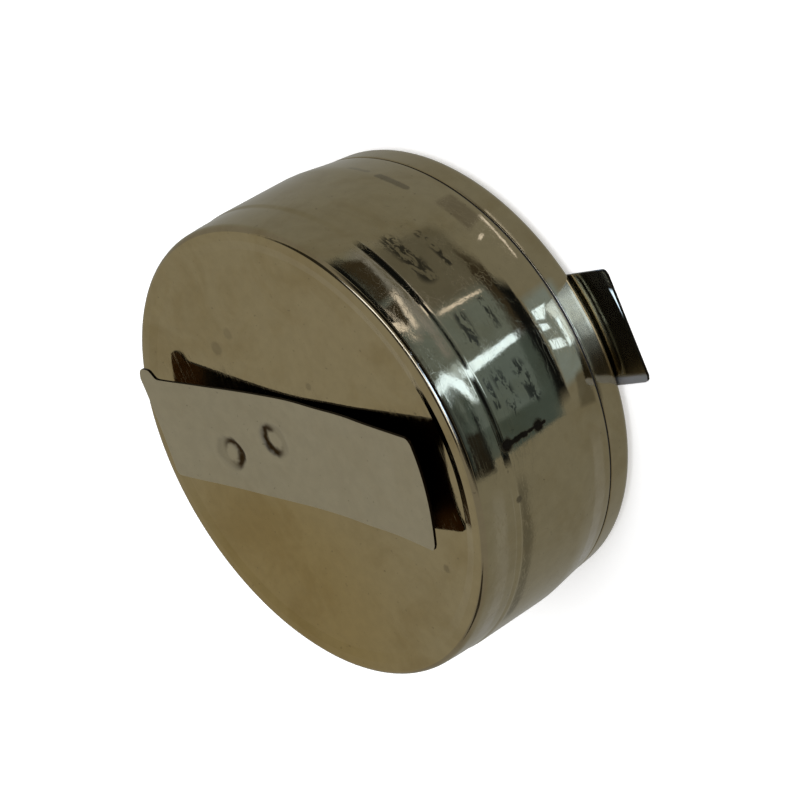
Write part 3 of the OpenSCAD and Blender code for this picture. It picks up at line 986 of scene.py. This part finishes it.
def card(name, corners, colour, strength=1.0, soft=True):
    """A card that shows only in reflections, through a square grid of corners, with soft edges."""
    row = PATCH_STEPS + 1
    starts = [i * row + k for i in range(PATCH_STEPS) for k in range(PATCH_STEPS)]
    mesh = bpy.data.meshes.new(name)
    mesh.from_pydata(corners, [], [(s, s + 1, s + row + 1, s + row) for s in starts])
    steps = np.arange(row)
    from_edge = np.minimum(steps, PATCH_STEPS - steps)
    shown = np.clip(np.minimum.outer(from_edge, from_edge) / SOFT_STEPS, 0, 1)
    if not soft:
        shown[:] = 1
    mesh.attributes.new("shown", "FLOAT", "POINT").data.foreach_set("value", shown.ravel())
    piece = bpy.data.objects.new(name, mesh)
    bpy.context.scene.collection.objects.link(piece)
    material, tree = new_tree(name)
    fade = add(tree, "MixShader")
    join(tree, add(tree, "Attribute", attribute_name="shown"), "Fac", fade, 0)
    join(tree, add(tree, "BsdfTransparent"), 0, fade, 1)
    join(tree, add(tree, "Emission", in_Color=(*colour, 1), in_Strength=strength), 0, fade, 2)
    join(tree, fade, 0, add(tree, "OutputMaterial"), "Surface")
    piece.data.materials.append(material)
    for ray in ("camera", "diffuse", "transmission", "volume_scatter", "shadow"):
        setattr(piece, "visible_" + ray, False)


def across_patch(corners):
    """A square grid of places between four corners."""
    parts = [i / PATCH_STEPS for i in range(PATCH_STEPS + 1)]
    a, b, c, d = (Vector(corner) for corner in corners)
    return [a.lerp(b, k).lerp(d.lerp(c, k), i) for i in parts for k in parts]


def wall_card(level, tone, corners, crease_z=None):
    """A card seen on the wall at (direction, height), or in a crease at (direction, tilt)."""
    points = []
    for turn, height in across_patch(corners):
        z = crease_z or height * MM
        tilt = math.radians(height) if crease_z else np.interp(z, wall_z, wall_tilt)
        outwards = Vector((math.cos(math.radians(turn)), math.sin(math.radians(turn)), 0))
        spot = outwards * np.interp(z, wall_z, wall_r) + Vector((0, 0, z))
        normal = outwards * math.cos(tilt) + Vector((0, 0, math.sin(tilt)))
        out = (spot - camera_place).reflect(normal)
        points.append(spot + out * ((z - level * CARD_LIFT) / -out.z))
    card("table_patch", points, [seen / metal for seen, metal in zip(tone, NICKEL)])


def sky_card(name, level, heights, turns, colour, strength, soft=True):
    """A card on the sky's dome, between two heights and two directions in degrees."""
    corners = [(turns[i], heights[j]) for i, j in ((0, 0), (1, 0), (1, 1), (0, 1))]
    radius = SKY_RADIUS * (1 - SKY_LAYER * level)
    points = []
    for turn, height in across_patch(corners):
        turn, height = math.radians(turn), math.radians(height)
        flat = radius * math.cos(height)
        points.append((flat * math.cos(turn), flat * math.sin(turn), radius * math.sin(height)))
    card(name, points, colour, strength, soft)


# Tones as the wall shows them.
BLACK = (0.004, 0.004, 0.003)
UMBER = (0.028, 0.02, 0.009)
BROWN = (0.084, 0.071, 0.04)
SOOTY = (0.013, 0.01, 0.005)
PINE = (0.045, 0.055, 0.04)
OLIVE = (0.1, 0.108, 0.078)
MOSS = (0.085, 0.1, 0.078)
SAGE = (0.15, 0.165, 0.13)
TAN = (0.098, 0.08, 0.046)
STONE = (0.165, 0.148, 0.11)
SAND = (0.165, 0.143, 0.09)
MIST = (0.32, 0.36, 0.31)
CREAM = (0.6, 0.5, 0.35)
WHITE = (0.86, 1.0, 0.95)
PATCHES = (
    (BROWN, ((49.3, 8.54), (-9.3, 8.54), (-8.0, 4.37), (47.1, 4.55))),
    (OLIVE, ((28.6, 8.62), (-8.9, 8.62), (-8.0, 4.27), (28.6, 4.27))),
    (OLIVE, ((50.9, 10.47), (-11.1, 10.47), (-11.1, 8.95), (50.9, 8.88))),
    (SAGE, ((20.4, 3.81), (-3.2, 3.81), (-2.9, 1.96), (21.1, 1.96))),
    (BROWN, ((47.3, 8.21), (26.9, 8.21), (27.3, 5.01), (45.7, 5.01))),
    (UMBER, ((40.7, 5.1), (-6.1, 5.1), (-6.1, 4.27), (32.9, 4.27))),
    (OLIVE, ((25.4, 8.21), (14.0, 8.21), (14.6, 4.77), (24.9, 4.96))),
    (MOSS, ((12.1, 8.47), (-3.6, 8.47), (-3.2, 4.74), (13.6, 4.64))),
    (PINE, ((-0.7, 8.47), (-8.7, 8.47), (-7.9, 4.27), (-0.4, 4.27))),
    (PINE, ((12.1, 5.18), (-2.1, 5.29), (-5.7, 4.4), (14.3, 4.4))),
    (BLACK, ((28.6, 4.48), (-6.1, 4.55), (-5.6, 3.7), (25.7, 3.88))),
    (CREAM, ((26.6, 8.17), (25.6, 8.17), (25.3, 5.25), (26.2, 5.25))),
    (WHITE, ((13.6, 8.43), (10.9, 8.43), (12.4, 4.88), (14.3, 4.92))),
    (STONE, ((50.6, 9.1), (15.7, 9.1), (15.7, 8.58), (50.6, 8.58))),
    (MIST, ((15.7, 9.1), (4.6, 8.95), (5.0, 8.58), (15.0, 8.58))),
    (UMBER, ((50.3, 10.21), (33.6, 10.24), (34.6, 9.13), (47.1, 8.99))),
    (UMBER, ((33.6, 10.21), (26.4, 9.82), (26.8, 9.69), (34.6, 9.17))),
    (OLIVE, ((22.1, 10.24), (14.3, 10.24), (14.3, 9.1), (25.7, 9.1))),
    (CREAM, ((34.3, 10.47), (23.0, 9.98), (23.2, 9.82), (34.3, 10.28))),
    (CREAM, ((36.4, 9.21), (25.4, 9.65), (25.4, 9.43), (36.4, 8.97))),
    (STONE, ((25.4, 9.65), (22.1, 9.91), (22.1, 9.8), (25.4, 9.43))),
    (PINE, ((12.0, 9.84), (7.9, 10.32), (-2.1, 10.28), (-2.1, 9.54))),
    (PINE, ((12.0, 9.76), (-2.1, 9.54), (-2.1, 9.1), (7.1, 9.1))),
    (SOOTY, ((1.4, 10.32), (-10.7, 10.32), (-11.1, 9.06), (-0.1, 9.06))),
    (BLACK, ((50.3, 10.34), (27.1, 10.1), (27.1, 9.95), (50.3, 10.13))),
    (BLACK, ((8.6, 10.34), (-10.1, 10.34), (-10.1, 10.13), (9.3, 10.13))),
    (BLACK, ((4.6, 9.34), (-10.7, 9.32), (-10.7, 9.12), (4.6, 9.15))),
    (WHITE, ((10.6, 10.5), (6.4, 10.5), (12.3, 9.78), (15.4, 9.8))),
    (WHITE, ((15.4, 9.84), (12.1, 9.84), (4.7, 8.8), (10.9, 8.93))),
    (BROWN, ((-0.7, 2.98), (-8.9, 3.35), (-10.0, 2.11), (0.7, 2.04))),
    (TAN, ((51.0, 3.48), (38.4, 3.55), (40.7, 2.18), (51.4, 2.18))),
    (SAGE, ((18.6, 3.66), (-2.1, 3.66), (-1.9, 2.18), (19.6, 2.18))),
    (CREAM, ((37.5, 3.03), (36.3, 3.48), (35.6, 3.4), (36.6, 2.96))),
    (WHITE, ((16.3, 3.66), (13.7, 3.66), (12.9, 3.07), (16.4, 2.52))),
    (WHITE, ((13.0, 3.66), (10.9, 3.66), (10.6, 3.03), (12.0, 3.11))),
    (WHITE, ((8.9, 3.63), (6.3, 3.63), (5.3, 2.66), (7.9, 2.79))),
    (WHITE, ((12.1, 2.55), (4.6, 2.55), (5.0, 2.3), (12.5, 2.3))),
    (CREAM, ((42.3, 2.24), (27.7, 2.41), (27.9, 2.3), (42.3, 2.09))),
    (SAND, ((-14.0, 9.9), (-62.0, 9.9), (-62.0, 9.1), (-14.0, 9.1))),
    (BROWN, ((-13.0, 8.2), (-60.0, 8.2), (-60.0, 7.6), (-13.0, 7.6))),
    (SAND, ((-14.0, 3.2), (-58.0, 3.2), (-58.0, 2.3), (-14.0, 2.3))),
)
table_sides = ((-1, -1), (1, -1), (1, 1), (-1, 1))
table_corners = [(TABLE_REACH * x, TABLE_REACH * y) for x, y in table_sides]
table_grid = [(*point, CARD_LIFT) for point in across_patch(table_corners)]
card("table", table_grid, TABLE_COLOUR, TABLE_GLOW, False)
for level, (tone, corners) in enumerate(PATCHES, 2):
    wall_card(level, tone, corners)

# The crease under the front band is too narrow for heights, so its cards go by its tilt.
CREASES = (
    (BLACK, ((52.1, 5.0), (-11.9, 5.0), (-11.9, 17), (52.1, 17))),
    (BLACK, ((51.4, 5.5), (26.4, 5.5), (26.4, 17), (51.4, 17))),
    (BLACK, ((10.0, 5.5), (-11.4, 5.5), (-11.4, 17), (10.0, 17))),
    (CREAM, ((29.6, 4.5), (26.6, 4.5), (27.7, 11), (30.5, 11))),
    (WHITE, ((12.9, 4.5), (10.6, 4.5), (10.3, 17), (12.4, 17))),
)
for level, (tone, corners) in enumerate(CREASES, 2):
    wall_card(level, tone, corners, CREASE_Z)

# Cards on the sky's dome, each between two heights and two directions, in degrees.
WARM = (1.0, 0.93, 0.8)
ALL_ROUND = (-180, 180)
COOL = (1, 1.45, 2.8)
sky_card("sky", 0, (0, 90), ALL_ROUND, (1, 0.97, 0.92), 0.33, False)
sky_card("sky_zenith", 1, (74, 90), ALL_ROUND, WARM, 0.03)
sky_card("sky_beside", 1, (40, 74), (100, 236), (1, 0.96, 0.83), 0.42)
sky_card("sky_behind", 2, (0, 48), (165, 225), (1, 0.95, 0.8), 0.43)
sky_card("sky_dark_side", 2, (24, 50), (237, 264), WARM, 0.05)
sky_card("sky_dark_far", 2, (44, 78), (94, 168), WARM, 0.04)
sky_card("sky_camera_side", 1, (-4, 41), (-40, 80), WARM, 0.01)
sky_card("sky_cool", 2, (37, 58), (-8, 26), COOL, 0.6)
sky_card("sky_cool_low", 3, (37, 58), (-18, -5), COOL, 0.35)
sky_card("sky_dark", 4, (37, 58), (-36, -14), WARM, 0.05)
sky_card("sky_bright_low", 5, (41, 45.5), (1, 19), COOL, 3.2)
sky_card("sky_bright_high", 5, (47, 55), (-8, 19), COOL, 3.6)
sky_card("sky_strip", 2, (59, 69), (-30, 112), (1, 1.08, 1.4), 3)
